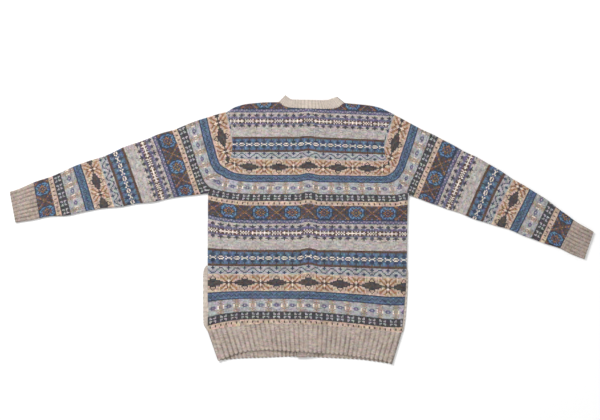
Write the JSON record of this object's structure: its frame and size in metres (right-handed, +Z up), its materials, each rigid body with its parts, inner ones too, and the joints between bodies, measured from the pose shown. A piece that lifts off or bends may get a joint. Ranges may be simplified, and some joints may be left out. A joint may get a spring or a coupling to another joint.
{
  "type": "nordic cardigan",
  "caption": "Knitted wool cardigan laid face down and flat: banded all-over pattern, plain ribbed hem, cuffs and neckband, buttoned V front, side pockets.",
  "frame": {"origin": "centre of the bounding box's lower face, on the surface that the garment lies on", "axes": "+X towards the wearer's right sleeve, +Y towards the neck, +Z up from the surface, through the fronts and then the back"},
  "size_m": [1.519, 0.7002, 0.012],
  "materials": {
    "patterned_knit": "stranded wool knit in many-coloured bands",
    "plain_rib": "oatmeal wool, two-by-two rib",
    "button": "brown horn look, satin"
  },
  "bodies": {
    "root": {"back": "patterned_knit", "front_left": "patterned_knit", "front_right": "patterned_knit", "sleeve_left": "patterned_knit", "sleeve_right": "patterned_knit", "band_left": "plain_rib", "band_right": "plain_rib", "cuff_left": "plain_rib", "cuff_right": "plain_rib", "hem_rib_back": "plain_rib", "hem_rib_front_left": "plain_rib", "hem_rib_front_right": "plain_rib", "neckband": "plain_rib", "pocket_welt_left": "plain_rib", "pocket_welt_right": "plain_rib", "button_1": "button", "button_2": "button", "button_3": "button", "button_4": "button", "button_5": "button", "button_6": "button"}
  },
  "joints": []
}
